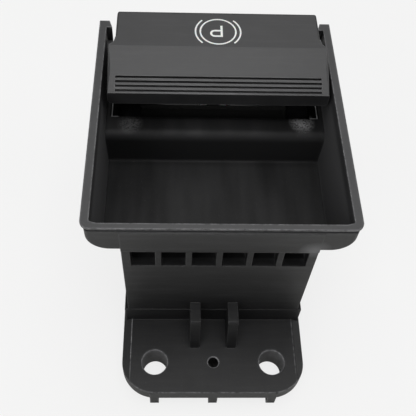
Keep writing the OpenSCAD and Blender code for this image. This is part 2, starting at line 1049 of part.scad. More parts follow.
// Lamp for the symbol
module indicator_lamp() {
    body_h = 1.1;
    color(clear_plastic)
        seat_frame()
            translate([lamp_x, lamp_y, board_top]) {
                translate([-1.6, -1.4, 0])
                    cube([3.2, 2.8, body_h]);
                translate([0, 0, body_h - eps])
                    cylinder(r = 1.1, h = 0.5);
            }
}

// Control chip with its two rows of legs
module control_chip() {
    chip_l = 6;
    chip_w = 5;
    leg_pitch = 1.27;
    color(dark_plastic)
        seat_frame()
            translate([-board_half + 9, (case_front + case_rear) / 2, board_low]) {
                translate([-chip_l / 2, -chip_w / 2, -1.6])
                    cube([chip_l, chip_w, 1.5]);
                for (s = [-1, 1], k = [0:3])
                    translate([(k - 1.5) * leg_pitch - 0.2, s * (chip_w / 2 + 0.5) - 0.7, -0.9])
                        cube([0.4, 1.4, 0.9]);
            }
}

// Resistors and capacitors, each with two end caps
module board_parts() {
    part_l = 2;
    part_w = 1.25;
    part_h = 0.7;
    part_x = board_half - 13.6;
    color(tin_tone)
        seat_frame()
            for (p = [[0, 4], [3.6, 4], [7, 4], [1.6, 9], [6.1, 9], [-12.4, 5]])
                translate([part_x + p[0], case_front + 2 + p[1], board_low - part_h])
                    cube([part_l, part_w, part_h]);
}

// Bent pins of the plug
module connector_pins() {
    pin = 0.32;
    color(tin_tone)
        seat_frame()
            for (k = [0:pin_n - 1])
                translate([(k - (pin_n - 1) / 2) * pin_pitch, contact_y, contact_z]) {
                    translate([0, 0, -pin])
                        cylinder(r = pin, h = board_top - contact_z + 2 * pin - 0.3, $fn = 24);
                    rotate([-90, 0, 0])
                        cylinder(r = pin, h = 10.5, $fn = 24);
                }
}

// Rails that guide the slider on both sides
module slider_rails() {
    rail_gap = 0.1;
    rail_t = 1.5;
    lip_w = 2.2;
    travel = 3.6;
    rail_l = slider_len + 2 * travel - 1;
    for (s = [-1, 1]) {
        translate([s * (slider_half + rail_gap + rail_t / 2) - rail_t / 2, slide_y - rail_l / 2 - 0.9,
                   board_top + 0.6])
            cube([rail_t, rail_l, plate_under - board_top]);
        translate([s * (slider_half - lip_w / 2) - lip_w / 2 - 0.1, slide_y - rail_l / 2 - 0.9,
                   slider_top + 0.2])
            cube([lip_w + 0.2, rail_l, plate_under - slider_top]);
    }
}

// Case of the switch, with the slider rails and the shroud of the plug
module switch_case() {
    wall = 1.5;
    shroud_rear = case_rear + 9;
    socket_half_h = 1.95;
    ledge_w = 3;
    color(dark_plastic)
        seat_frame()
            difference() {
                union() {
                    slab(floor_half - 0.8, bay_front + 0.4, case_rear, plate_under, plate_top);
                    slab(case_half, case_front, case_rear, case_low, plate_under + seam);
                    slab(shroud_half, case_rear - 1, shroud_rear, case_low, shroud_top);
                }
                difference() {
                    slab(case_half - case_t, case_front + case_t, case_rear - case_t,
                         case_low - 1, plate_under);
                    slider_rails();
                    for (s = [-1, 1])
                        translate([s * (case_half - case_t) - ledge_w / 2, case_front, board_top + 0.05])
                            cube([ledge_w, case_rear - case_front, 1.5]);
                }
                slab(shroud_half - wall, case_rear + case_t, shroud_rear + 1,
                     contact_z - socket_half_h, contact_z + socket_half_h);
                slab(5.2, slide_y - 7.5, case_rear - case_t, plate_under - 1, plate_top + 1);
                translate([lamp_x, lamp_y, plate_under - 1])
                    cylinder(r = 2.2, h = plate_t + 2);
                for (s = [-1, 1], y = [screw_front_y, screw_rear_y])
                    translate([s * screw_x, y, plate_under - 1])
                        cylinder(r = screw_r + 0.3, h = plate_t + 2);
                for (k = [0:pin_n - 1])
                    translate([(k - (pin_n - 1) / 2) * pin_pitch, case_rear - 2, contact_z])
                        rotate([-90, 0, 0])
                            cylinder(r = 0.34, h = 5, $fn = 24);
            }
}

// Bottom cover of the switch case, with posts that hold the board
module case_cover() {
    post_r = 1.6;
    rim_h = 1.2;
    rim_half = case_half - case_t - 0.15;
    color(dark_plastic)
        seat_frame() {
            slab(case_half, case_front, case_rear - 0.05, case_low - case_t, case_low - 0.02);
            difference() {
                slab(rim_half, case_front + case_t + 0.15, case_rear - case_t - 0.15,
                     case_low - 0.1, case_low + rim_h);
                slab(rim_half - 1, case_front + case_t + 1.15, case_rear - case_t - 1.15,
                     case_low - 0.2, case_low + rim_h + 1);
            }
            for (s = [-1, 1], y = [case_front + 5, case_rear - 6])
                translate([s * (board_half - 3), y, case_low - 0.1])
                    cylinder(r = post_r, h = board_low - case_low);
        }
}

// Screws that hold the switch case under the deck
module case_screws() {
    head_h = 1.8;
    color(steel_grey)
        seat_frame()
            for (s = [-1, 1], y = [screw_front_y, screw_rear_y])
                translate([s * screw_x, y, 0]) {
                    translate([0, 0, plate_under])
                        cylinder(r = screw_r, h = deck_under - plate_under + 0.6);
                    difference() {
                        translate([0, 0, plate_under - head_h])
                            cylinder(r = screw_head_r, h = head_h);
                        translate([0, 0, plate_under - head_h - 0.1])
                            cylinder(r = 1.2, h = 1.1, $fn = 6);
                    }
                }
}

// Spring clips that hold the bottom cover
module cover_clips() {
    clip_w = 5;
    clip_t = 0.5;
    clip_mid = (case_front + case_rear) / 2;
    clip_top = board_top + 3.5;
    clip_low = case_low - case_t;
    color(spring_grey)
        seat_frame()
            for (s = [-1, 1])
                scale([s, 1, 1])
                    along(clip_mid - clip_w / 2, clip_mid + clip_w / 2)
                        polygon([
                            [case_half, clip_top],
                            [case_half + clip_t, clip_top],
                            [case_half + clip_t, clip_low - clip_t],
                            [case_half - 3, clip_low - clip_t],
                            [case_half - 3, clip_low],
                            [case_half, clip_low]
                        ]);
}

tray_housing();
lever_cover();
lever_frame();
brake_symbol();
light_guide();
lever_axle();
left_return_spring();
right_return_spring();
push_stop_pads();
pull_stop_pads();
slider();
wiper_contacts();
contact_tracks();
circuit_board();
indicator_lamp();
control_chip();
board_parts();
connector_pins();
switch_case();
case_cover();
case_screws();
cover_clips();
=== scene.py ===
# %% [markdown]
# A parking brake switch is a small moulded tray that sits in a car's centre console. Nearly
# everything seen is black plastic, so its look comes from three things: how each surface
# reflects the room, the fine grain left by the mould, and the thin bright lines along the
# edges. The solids come ready at their true size, so the work here is edges, finishes,
# a few small parts that are nicer as surfaces, and the light.

# %% Load the solids and set up the tools
import math

import bpy
import numpy as np
from mathutils import Matrix, Vector


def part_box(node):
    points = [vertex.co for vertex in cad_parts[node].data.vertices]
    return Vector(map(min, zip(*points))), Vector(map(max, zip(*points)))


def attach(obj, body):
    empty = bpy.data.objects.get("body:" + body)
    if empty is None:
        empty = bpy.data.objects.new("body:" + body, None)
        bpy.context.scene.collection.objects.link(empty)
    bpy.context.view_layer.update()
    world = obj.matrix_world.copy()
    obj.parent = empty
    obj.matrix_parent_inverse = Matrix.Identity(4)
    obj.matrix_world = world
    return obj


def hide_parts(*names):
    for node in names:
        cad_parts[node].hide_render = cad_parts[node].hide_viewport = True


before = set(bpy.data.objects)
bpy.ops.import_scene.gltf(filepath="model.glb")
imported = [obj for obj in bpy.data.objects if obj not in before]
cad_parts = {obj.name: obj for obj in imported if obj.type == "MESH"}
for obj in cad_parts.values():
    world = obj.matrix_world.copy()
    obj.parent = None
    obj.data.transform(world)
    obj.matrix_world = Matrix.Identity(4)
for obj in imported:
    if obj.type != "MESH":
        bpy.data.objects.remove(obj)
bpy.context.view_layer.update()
scene = bpy.context.scene
scene.view_settings.view_transform = "Standard"
MM = 0.001

# %% [markdown]
# The camera comes first, because every later choice is judged through it. It was found by
# fitting a pinhole camera to points on the rim, the foot and the upright edges: it looks
# down at 56 degrees, is turned a little to the right and leans 3 degrees. Three crossing
# unit vectors (right, up, back) are the columns of its matrix.

# %% Camera at the photo's angle
PHOTO_WIDTH = 416
FOCAL_PX = 661.3
CENTRE_PX = (195.9, 207.2)
CAMERA_PLACE = Vector((-11.42, -70.22, 198.57)) * MM
TURN, DOWN, LEAN = (math.radians(a) for a in (3.10, 56.41, 3.07))


def camera_matrix(place, turn, down, lean):
    """Columns right, up, back: level right and its up are turned by lean about the view."""
    ahead = Vector((math.sin(turn) * math.cos(down), math.cos(turn) * math.cos(down), -math.sin(down)))
    level = Vector((math.cos(turn), -math.sin(turn), 0))
    above = level.cross(ahead)
    right = level * math.cos(lean) + above * math.sin(lean)
    up = above * math.cos(lean) - level * math.sin(lean)
    return Matrix.Translation(place) @ Matrix((right, up, -ahead)).transposed().to_4x4()


camera_data = bpy.data.cameras.new("camera")
camera_data.sensor_width = 36.0
camera_data.lens = FOCAL_PX / PHOTO_WIDTH * camera_data.sensor_width
camera_data.shift_x = (PHOTO_WIDTH / 2 - CENTRE_PX[0]) / PHOTO_WIDTH
camera_data.shift_y = (CENTRE_PX[1] - PHOTO_WIDTH / 2) / PHOTO_WIDTH
camera_data.clip_start = 0.01
camera = bpy.data.objects.new("camera", camera_data)
camera.matrix_world = camera_matrix(CAMERA_PLACE, TURN, DOWN, LEAN)
scene.collection.objects.link(camera)
scene.camera = camera
print("lens %.1f mm" % camera_data.lens)

# %% [markdown]
# Moulded plastic has no perfectly sharp edge, and the small radius is what catches the
# light. A radius could be painted with a shader, but real rounding also shows in the
# silhouette and in the mesh itself. So each moulded solid gets modifiers: Weld joins the
# loose triangles, a planar Decimate removes the lines inside flat faces, and Bevel rounds
# what is left of the sharp edges.

# %% Round the moulded edges
def round_edges(node, width, segments=2, angle=32):
    """Weld, planar dissolve, then a bevel of that width in metres on edges over the angle."""
    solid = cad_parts[node]
    weld = solid.modifiers.new("weld", "WELD")
    weld.merge_threshold = 0.004 * MM
    flat = solid.modifiers.new("flat", "DECIMATE")
    flat.decimate_type = "DISSOLVE"
    flat.angle_limit = math.radians(0.6)
    bevel = solid.modifiers.new("bevel", "BEVEL")
    bevel.width = width
    bevel.segments = segments
    bevel.limit_method = "ANGLE"
    bevel.angle_limit = math.radians(angle)
    bevel.use_clamp_overlap = True
    bevel.miter_outer = "MITER_SHARP"
    bevel.harden_normals = False
    for face in solid.data.polygons:
        face.use_smooth = False
    return solid


# %% Bevel widths of the moulded pieces
BEVELS = {
    "tray_housing": 0.22 * MM,
    "lever_cover": 0.25 * MM,
    "lever_frame": 0.2 * MM,
    "switch_case": 0.2 * MM,
    "case_cover": 0.25 * MM,
    "slider": 0.15 * MM,
}

# %% [markdown]
# All finishes are built from nodes. One function adds a node with its settings and links,
# another turns the hex colour that a paint chart would give into the linear values that
# the renderer needs.

# %% Colour and node helpers
def linear(hex_colour):
    """sRGB hex to linear RGBA: divide by 12.92 in the dark part, a 2.4 power above it."""
    parts = [int(hex_colour[i:i + 2], 16) / 255 for i in (1, 3, 5)]
    parts = [c / 12.92 if c <= 0.04045 else ((c + 0.055) / 1.055) ** 2.4 for c in parts]
    return (*parts, 1.0)


def add_node(tree, kind, inputs=None, **settings):
    """Adds a node; settings are its properties, inputs are values or sockets to link."""
    node = tree.nodes.new(kind)
    for name, value in settings.items():
        setattr(node, name, value)
    for name, value in (inputs or {}).items():
        if isinstance(value, bpy.types.NodeSocket):
            tree.links.new(value, node.inputs[name])
        else:
            node.inputs[name].default_value = value
    return node


def new_finish(name):
    """A new node material with its shader; returns material, tree, shader and coordinates."""
    material = bpy.data.materials.new(name)
    material.use_nodes = True
    tree = material.node_tree
    shader = tree.nodes["Principled BSDF"]
    place = add_node(tree, "ShaderNodeTexCoord").outputs["Object"]
    return material, tree, shader, place


def grain_scale(width_mm):
    """Noise scale that gives blobs of about that width when coordinates are metres."""
    return 1.0 / (width_mm * MM)


def ramp(tree, value, low, high, low_colour, high_colour):
    """Colour that goes from one to the other while the value goes from low to high."""
    node = add_node(tree, "ShaderNodeValToRGB", {"Fac": value})
    node.color_ramp.elements[0].position = low
    node.color_ramp.elements[0].color = low_colour
    node.color_ramp.elements[1].position = high
    node.color_ramp.elements[1].color = high_colour
    return node.outputs["Color"]


# %% [markdown]
# The housing is glass-filled nylon (PA6-GF30), moulded in a spark-eroded tool. It is
# nearly black and dull, with a grain of about half a millimetre. Its colour changes with
# height: darker in the well, which is painted shade, and lighter at the top of the rim, which
# is a painted highlight. The well's walls are painted lighter as reflections, faint streaks
# along the well change its gloss and, on up-facing faces, are a painted reflection in the
# colour, dust sits in the grain, and the edges are pale, partly scuffs and partly a painted
# highlight. The edges are found by looking inside the plastic near each point; the rim and
# the well are told apart by height.

# %% Pieces shared by the two black finishes
def streaks(tree, place, stretch, width_mm, low, high, detail=5.0):
    """Noise drawn out along one axis, cut so that only its high parts are left, 0 to 1."""
    drawn = add_node(tree, "ShaderNodeMapping", {"Vector": place, "Scale": stretch})
    noise = add_node(tree, "ShaderNodeTexNoise", {
        "Vector": drawn.outputs["Vector"], "Scale": grain_scale(width_mm), "Detail": detail, "Roughness": 0.65})
    cut = add_node(tree, "ShaderNodeMapRange", {
        "Value": noise.outputs["Fac"], "From Min": low, "From Max": high})
    return cut.outputs["Result"]


def hollow_share(tree, reach_mm, low, high, inside=False):
    """How shut in a point is, 0 to 1; looking inside the plastic, it finds outer edges."""
    shade = add_node(tree, "ShaderNodeAmbientOcclusion", {"Distance": reach_mm * MM},
                     samples=8, inside=inside, only_local=True)
    share = add_node(tree, "ShaderNodeMapRange", {
        "Value": shade.outputs["AO"], "From Min": high, "From Max": low})
    return share.outputs["Result"]


def times(tree, first, second):
    """Product of two values."""
    return add_node(tree, "ShaderNodeMath", {0: first, 1: second}, operation="MULTIPLY").outputs["Value"]


def between(tree, value, low, high, floor=0.0, top=1.0):
    """Value carried from the range low to high, in metres, into floor to top, and held there."""
    held = add_node(tree, "ShaderNodeMapRange", {
        "Value": value, "From Min": low, "From Max": high, "To Min": floor, "To Max": top})
    return held.outputs["Result"]


def blend_tone(tree, share, base, over):
    """Colour base with over laid on it by the share."""
    mix = add_node(tree, "ShaderNodeMix", {"Factor": share, 6: base, 7: over}, data_type="RGBA")
    return mix.outputs[2]


def size_of(tree, value):
    """The value without its sign."""
    return add_node(tree, "ShaderNodeMath", {0: value}, operation="ABSOLUTE").outputs["Value"]


# %% [markdown]
# The ledge under the lever carries painted light. A pale painted highlight runs along each end
# of the opening and along its front near the ends, the plastic behind the front and inside
# the end lines is painted as deep shade with little gloss, and the right-hand corner has a
# grainy grey painted highlight, with a much weaker one on the left.

# %% Painted shade and highlights on the ledge
def deck_painted_light(tree, place, spot, colour, grain, patch):
    """Painted shade strip, painted highlight lines and corner patches on the ledge; returns shade and colour."""
    across, along, up = size_of(tree, spot.outputs["X"]), spot.outputs["Y"], spot.outputs["Z"]
    level = times(tree, between(tree, up, 45.2 * MM, 45.4 * MM), between(tree, up, 48.8 * MM, 49.2 * MM, 1.0, 0.0))
    behind = times(tree, level, between(tree, along, 61.6 * MM, 61.9 * MM))
    shut = times(tree, behind, between(tree, across, 31.2 * MM, 31.5 * MM, 1.0, 0.0))
    # Painted shade behind the opening's front, inside its ends.
    colour = blend_tone(tree, shut, colour, linear("#060606"))
    # Painted highlights: grainy grey patches at the two corners.
    for x_mm, y_mm, strength in ((26.0, 60.0, 0.9), (-25.3, 59.3, 0.35)):
        away = add_node(tree, "ShaderNodeVectorMath", {
            0: place, 1: (x_mm * MM, y_mm * MM, 48.4 * MM)}, operation="DISTANCE").outputs["Value"]
        painted_glint = times(tree, between(tree, away, 1.2 * MM, 4.2 * MM, strength, 0.0), between(tree, grain, 0.35, 0.62))
        colour = blend_tone(tree, times(tree, painted_glint, level), colour, linear("#8e8e8f"))
    from_side = size_of(tree, add_node(tree, "ShaderNodeMath", {
        0: across, 1: 30.8 * MM}, operation="SUBTRACT").outputs["Value"])
    line = times(tree, behind, between(tree, from_side, 0.05 * MM, 0.22 * MM, 1.0, 0.0))
    from_front = size_of(tree, add_node(tree, "ShaderNodeMath", {
        0: along, 1: 61.7 * MM}, operation="SUBTRACT").outputs["Value"])
    front = times(tree, level, between(tree, from_front, 0.05 * MM, 0.2 * MM, 1.0, 0.0))
    front = times(tree, front, between(tree, across, 22 * MM, 30 * MM, 0.0, 0.7))
    front = times(tree, front, between(tree, across, 30.8 * MM, 31.1 * MM, 1.0, 0.0))
    broken = between(tree, patch, 0.0, 1.0, 0.35, 0.95)
    # Painted highlights: pale lines along the ends and the front of the opening.
    for mark in (line, front):
        colour = blend_tone(tree, times(tree, mark, broken), colour, linear("#b8b8ba"))
    return shut, colour


# %% [markdown]
# The foot and the skirt carry painted light. The screw holes' walls are painted light grey
# as a reflection, the middle hole's wall is painted as deep shade, and a pale painted
# highlight rings each hole. A dark band beyond each border of the foot is painted shade, a
# broken pale line along each border is partly a scuff and partly a painted highlight, and
# the skirt's right-hand corner has a painted highlight.

# %% Painted light and marks on the foot and the skirt
def fitting_marks_and_painted_light(tree, place, spot, colour, patch):
    """Painted reflection and shade in the holes, painted highlight rings, a painted shade band, pale border lines
    and a painted highlight on the skirt; returns colour.
    """
    across, along, up = spot.outputs["X"], spot.outputs["Y"], spot.outputs["Z"]
    foot = between(tree, up, 9.8 * MM, 10 * MM, 1.0, 0.0)
    flat = add_node(tree, "ShaderNodeCombineXYZ", {"X": size_of(tree, across), "Y": along})
    # Hole walls: light grey is a painted reflection, near black is painted shade; the rings are painted highlights.
    for x_mm, wall_mm, ring_mm, wall_tone in ((17.4, 3.6, 3.84, "#4e4e4f"), (0.0, 1.4, 1.68, "#080808")):
        away = add_node(tree, "ShaderNodeVectorMath", {
            0: flat.outputs["Vector"], 1: (x_mm * MM, 0, 0)}, operation="DISTANCE").outputs["Value"]
        wall = times(tree, foot, between(tree, away, (wall_mm + 0.1) * MM, (wall_mm + 0.2) * MM, 1.0, 0.0))
        colour = blend_tone(tree, wall, colour, linear(wall_tone))
        off_ring = size_of(tree, add_node(tree, "ShaderNodeMath", {
            0: away, 1: ring_mm * MM}, operation="SUBTRACT").outputs["Value"])
        ring = times(tree, foot, between(tree, off_ring, 0.06 * MM, 0.2 * MM, 0.65, 0.0))
        colour = blend_tone(tree, times(tree, ring, between(tree, patch, 0.0, 1.0, 0.35, 1.0)), colour, linear("#9a9a9c"))
    # Painted shade: a dark band beyond each border of the foot.
    border = times(tree, foot, between(tree, size_of(tree, across), 24.8 * MM, 25 * MM))
    border = times(tree, border, between(tree, along, -2 * MM, 2 * MM, 0.0, 0.6))
    colour = blend_tone(tree, border, colour, linear("#080809"))
    # Pale border lines: partly scuffs, partly a painted highlight.
    for x_mm, strength in ((-24.6, 0.6), (24.4, 0.3)):
        beside = size_of(tree, add_node(tree, "ShaderNodeMath", {
            0: across, 1: x_mm * MM}, operation="SUBTRACT").outputs["Value"])
        line = times(tree, foot, between(tree, beside, 0.03 * MM, 0.2 * MM, strength, 0.0))
        line = times(tree, line, between(tree, along, -5 * MM, 2 * MM, 0.15, 1.0))
        colour = blend_tone(tree, times(tree, line, patch), colour, linear("#b4b4b6"))
    # Painted highlight on the skirt's right-hand corner.
    away = add_node(tree, "ShaderNodeVectorMath", {
        0: place, 1: (24.2 * MM, 13.65 * MM, 52.3 * MM)}, operation="DISTANCE").outputs["Value"]
    return blend_tone(tree, between(tree, away, 0.6 * MM, 4.5 * MM, 0.85, 0.0), colour, linear("#6c6c6e"))


# %% Housing finish: grained black nylon
def grained_nylon():
    """Black glass-filled nylon: painted shade and highlight by height and facing, streaks, dust, scuffed and
    painted-highlight edges, grain by noise bump.
    """
    material, tree, shader, place = new_finish("grained_black_nylon")
    spot = add_node(tree, "ShaderNodeSeparateXYZ", {"Vector": place})
    facing = add_node(tree, "ShaderNodeSeparateXYZ", {
        "Vector": add_node(tree, "ShaderNodeNewGeometry").outputs["Normal"]})
    # Tone by height: darkest through the well, which is painted shade, and lighter at the top of the rim, which is a
    # painted highlight.
    height = between(tree, spot.outputs["Z"], 0.0, 62 * MM)
    tone = add_node(tree, "ShaderNodeValToRGB", {"Fac": height})
    stops = tone.color_ramp.elements
    stops[0].position, stops[0].color = 0.0, linear("#161617")
    stops[1].position, stops[1].color = 0.99, linear("#3e3e3f")
    for position, colour in ((0.3, "#121213"), (0.6, "#0d0d0e"), (0.84, "#0c0c0d"), (0.95, "#202021")):
        stop = stops.new(position)
        stop.color = linear(colour)
    fine = add_node(tree, "ShaderNodeTexNoise", {
        "Vector": place, "Scale": grain_scale(0.45), "Detail": 3.0, "Roughness": 0.6})
    cloud = streaks(tree, place, (1.0, 1.0, 1.0), 14.0, 0.35, 0.7)
    # Long streaks on up-facing faces: they raise the gloss, and in the colour they are a painted reflection.
    long_streaks = times(tree, streaks(tree, place, (1.0, 0.15, 1.0), 11.0, 0.36, 0.66, 2.5),
                  between(tree, facing.outputs["Z"], 0.4, 0.9))
    smeared = streaks(tree, place, (0.08, 1.0, 1.0), 1.6, 0.48, 0.72)
    dust = streaks(tree, place, (1.0, 1.0, 1.0), 0.35, 0.66, 0.72)
    patch = streaks(tree, place, (1.0, 1.0, 1.0), 1.2, 0.34, 0.6)
    up, along = spot.outputs["Z"], spot.outputs["Y"]
    well = times(tree, between(tree, up, 35 * MM, 36 * MM), between(tree, up, 57 * MM, 60 * MM, 1.0, 0.0))
    well = times(tree, well, between(tree, along, 16.2 * MM, 16.8 * MM))
    outer = between(tree, well, 0.0, 1.0, 1.0, 0.0)
    middle = times(tree, between(tree, up, 9.3 * MM, 10 * MM), between(tree, up, 60.4 * MM, 60.8 * MM, 1.0, 0.0))
    # The well's side walls and its front and rear walls are painted lighter: painted reflections, chosen by which
    # way a face points.
    sideways = size_of(tree, facing.outputs["X"])
    painted_side_sheen = times(tree, well, between(tree, sideways, 0.4, 0.9, 0.0, 0.9))
    rear = times(tree, well, between(tree, size_of(tree, facing.outputs["Y"]), 0.2, 0.9, 0.0, 0.55))
    colour = blend_tone(tree, times(tree, cloud, 0.3), tone.outputs["Color"], linear("#242425"))
    colour = blend_tone(tree, painted_side_sheen, colour, linear("#4a4a4b"))
    colour = blend_tone(tree, rear, colour, linear("#2e2e2f"))
    # Painted reflection: the long streaks lighten the colour.
    colour = blend_tone(tree, times(tree, long_streaks, 0.2), colour, linear("#303031"))
    smears = times(tree, times(tree, smeared, outer), between(tree, up, 9 * MM, 30 * MM, 0.15, 0.4))
    colour = blend_tone(tree, smears, colour, linear("#3a3a3b"))
    hollow = times(tree, hollow_share(tree, 5.0, 0.1, 0.55), outer)
    colour = blend_tone(tree, times(tree, hollow, between(tree, up, 20 * MM, 30 * MM)), colour, linear("#606061"))
    colour = blend_tone(tree, times(tree, dust, 0.4), colour, linear("#6e6d6a"))
    # Pale outer edges: partly scuffs, partly a painted highlight; strongest at the foot and the rim.
    edges = times(tree, hollow_share(tree, 0.5, 0.5, 0.93, True), patch)
    edges = times(tree, edges, between(tree, middle, 0.0, 1.0, 0.8, 0.1))
    colour = blend_tone(tree, edges, colour, linear("#88888a"))
    colour = fitting_marks_and_painted_light(tree, place, spot, colour, patch)
    shut, colour = deck_painted_light(tree, place, spot, colour, fine.outputs["Fac"], patch)
    tree.links.new(colour, shader.inputs["Base Color"])
    dull = add_node(tree, "ShaderNodeMath", {
        0: between(tree, fine.outputs["Fac"], 0.0, 1.0, 0.44, 0.56), 1: times(tree, well, 0.14)}, operation="ADD")
    tree.links.new(dull.outputs["Value"], shader.inputs["Roughness"])
    shader.inputs["IOR"].default_value = 1.53
    shine = add_node(tree, "ShaderNodeMath", {
        0: between(tree, well, 0.0, 1.0, 0.5, 0.24), 1: times(tree, times(tree, long_streaks, well), 0.2)}, operation="ADD")
    shine = times(tree, shine.outputs["Value"], between(tree, shut, 0.0, 1.0, 1.0, 0.1))
    shine = times(tree, shine, between(tree, up, 9 * MM, 30 * MM, 0.74, 1.0))
    tree.links.new(shine, shader.inputs["Specular IOR Level"])
    soft = add_node(tree, "ShaderNodeBevel", {
        "Radius": between(tree, well, 0.0, 1.0, 0.4 * MM, 1.6 * MM)}, samples=8)
    bump = add_node(tree, "ShaderNodeBump", {
        "Height": fine.outputs["Fac"], "Strength": 0.4, "Distance": 0.07 * MM, "Normal": soft.outputs["Normal"]})
    tree.links.new(bump.outputs["Normal"], shader.inputs["Normal"])
    return material


# %% [markdown]
# The lever is touched every day, so it is moulded in ABS with a finer, silkier grain. It
# reads lighter than the housing because it reflects more of the room, and its edges are pale,
# partly rubbed and partly a painted highlight.

# %% Lever finish: satin ABS
def satin_abs():
    """Black ABS with a fine silky grain, a few specks and pale edges, rubbed and painted highlight."""
    material, tree, shader, place = new_finish("satin_black_abs")
    fine = add_node(tree, "ShaderNodeTexNoise", {
        "Vector": place, "Scale": grain_scale(0.3), "Detail": 2.0, "Roughness": 0.5})
    cloud = add_node(tree, "ShaderNodeTexNoise", {
        "Vector": place, "Scale": grain_scale(9.0), "Detail": 3.0})
    tone = ramp(tree, cloud.outputs["Fac"], 0.3, 0.7, linear("#29292a"), linear("#323233"))
    long_streaks = streaks(tree, place, (0.08, 1.0, 1.0), 1.2, 0.5, 0.75)
    colour = blend_tone(tree, times(tree, long_streaks, 0.25), tone, linear("#454546"))
    dust = streaks(tree, place, (1.0, 1.0, 1.0), 0.3, 0.68, 0.73)
    colour = blend_tone(tree, times(tree, dust, 0.5), colour, linear("#8a8986"))
    patch = streaks(tree, place, (0.12, 1.0, 1.0), 2.0, 0.3, 0.7)
    # Pale edges: partly rubbed, partly a painted highlight.
    edges = times(tree, hollow_share(tree, 0.3, 0.5, 0.95, True), times(tree, patch, 0.6))
    colour = blend_tone(tree, edges, colour, linear("#8c8c8e"))
    tree.links.new(colour, shader.inputs["Base Color"])
    rough = add_node(tree, "ShaderNodeMapRange", {
        "Value": cloud.outputs["Fac"], "To Min": 0.4, "To Max": 0.5})
    tree.links.new(rough.outputs["Result"], shader.inputs["Roughness"])
    shader.inputs["IOR"].default_value = 1.54
    bump = add_node(tree, "ShaderNodeBump", {
        "Height": fine.outputs["Fac"], "Strength": 0.25, "Distance": 0.04 * MM})
    tree.links.new(bump.outputs["Normal"], shader.inputs["Normal"])
    return material


# %% [markdown]
# The inner frame, the slider's case and its cover are never seen in use. They come from
# smoother tools, so the same nylon is a little glossier, with faint flow lines.

# %% Inner plastic
def smooth_nylon():
    """Black nylon from a polished tool: soft gloss with long, faint flow lines."""
    material, tree, shader, place = new_finish("smooth_black_nylon")
    along = add_node(tree, "ShaderNodeMapping", {"Vector": place, "Scale": (0.25, 1.0, 1.0)})
    flow = add_node(tree, "ShaderNodeTexNoise", {
        "Vector": along.outputs["Vector"], "Scale": grain_scale(2.5), "Detail": 3.0})
    tone = ramp(tree, flow.outputs["Fac"], 0.35, 0.65, linear("#1e1e20"), linear("#2a2a2c"))
    tree.links.new(tone, shader.inputs["Base Color"])
    rough = add_node(tree, "ShaderNodeMapRange", {
        "Value": flow.outputs["Fac"], "To Min": 0.32, "To Max": 0.48})
    tree.links.new(rough.outputs["Result"], shader.inputs["Roughness"])
    shader.inputs["IOR"].default_value = 1.53
    bump = add_node(tree, "ShaderNodeBump", {
        "Height": flow.outputs["Fac"], "Strength": 0.1, "Distance": 0.05 * MM})
    tree.links.new(bump.outputs["Normal"], shader.inputs["Normal"])
    return material


# %% [markdown]
# The symbol is a second shot of white, slightly translucent polycarbonate, so that the
# lamp can light it from below. The light guide is clear acrylic.

# %% Symbol and light guide
def white_polycarbonate():
    """White polycarbonate: a little light travels inside it, and it is finely grained."""
    material, tree, shader, place = new_finish("white_polycarbonate")
    fine = add_node(tree, "ShaderNodeTexNoise", {
        "Vector": place, "Scale": grain_scale(0.3), "Detail": 2.0})
    tone = ramp(tree, fine.outputs["Fac"], 0.3, 0.7, linear("#e2e2df"), linear("#f4f4f1"))
    tree.links.new(tone, shader.inputs["Base Color"])
    shader.inputs["Roughness"].default_value = 0.4
    shader.inputs["IOR"].default_value = 1.58
    shader.inputs["Subsurface Weight"].default_value = 0.15
    shader.inputs["Subsurface Scale"].default_value = 0.4 * MM
    bump = add_node(tree, "ShaderNodeBump", {
        "Height": fine.outputs["Fac"], "Strength": 0.2, "Distance": 0.03 * MM})
    tree.links.new(bump.outputs["Normal"], shader.inputs["Normal"])
    return material


def clear_acrylic(name="clear_acrylic", tint="#e6eef0"):
    """Clear acrylic with faint streaks in its polish."""
    material, tree, shader, place = new_finish(name)
    streak = add_node(tree, "ShaderNodeTexNoise", {
        "Vector": place, "Scale": grain_scale(1.5), "Detail": 2.0})
    rough = add_node(tree, "ShaderNodeMapRange", {
        "Value": streak.outputs["Fac"], "To Min": 0.05, "To Max": 0.16})
    tree.links.new(rough.outputs["Result"], shader.inputs["Roughness"])
    shader.inputs["Base Color"].default_value = linear(tint)
    shader.inputs["Transmission Weight"].default_value = 0.85
    shader.inputs["IOR"].default_value = 1.49
    return material


# %% [markdown]
# Metals: the axle and the screws are zinc-plated steel, drawn or rolled so that fine lines
# run along them, the springs are oiled music wire, the contacts are phosphor bronze, and
# the pins and the legs of the small parts are tinned.

# %% Metal finishes
def drawn_metal(name, hex_colour, darker, rough_low, rough_high, stretch, line_mm=0.12):
    """Metal with fine lines along the stretched axis; the lines change tone and gloss."""
    material, tree, shader, place = new_finish(name)
    along = add_node(tree, "ShaderNodeMapping", {"Vector": place, "Scale": stretch})
    lines = add_node(tree, "ShaderNodeTexNoise", {
        "Vector": along.outputs["Vector"], "Scale": grain_scale(line_mm), "Detail": 3.0})
    tone = ramp(tree, lines.outputs["Fac"], 0.3, 0.7, linear(darker), linear(hex_colour))
    tree.links.new(tone, shader.inputs["Base Color"])
    rough = add_node(tree, "ShaderNodeMapRange", {
        "Value": lines.outputs["Fac"], "To Min": rough_low, "To Max": rough_high})
    tree.links.new(rough.outputs["Result"], shader.inputs["Roughness"])
    shader.inputs["Metallic"].default_value = 1.0
    bump = add_node(tree, "ShaderNodeBump", {
        "Height": lines.outputs["Fac"], "Strength": 0.12, "Distance": 0.01 * MM})
    tree.links.new(bump.outputs["Normal"], shader.inputs["Normal"])
    return material


# %% [markdown]
# The stops are moulded rubber, dull with a bloom of talc. The slider is natural acetal,
# which is milky and waxy. The chip's body is black epoxy.

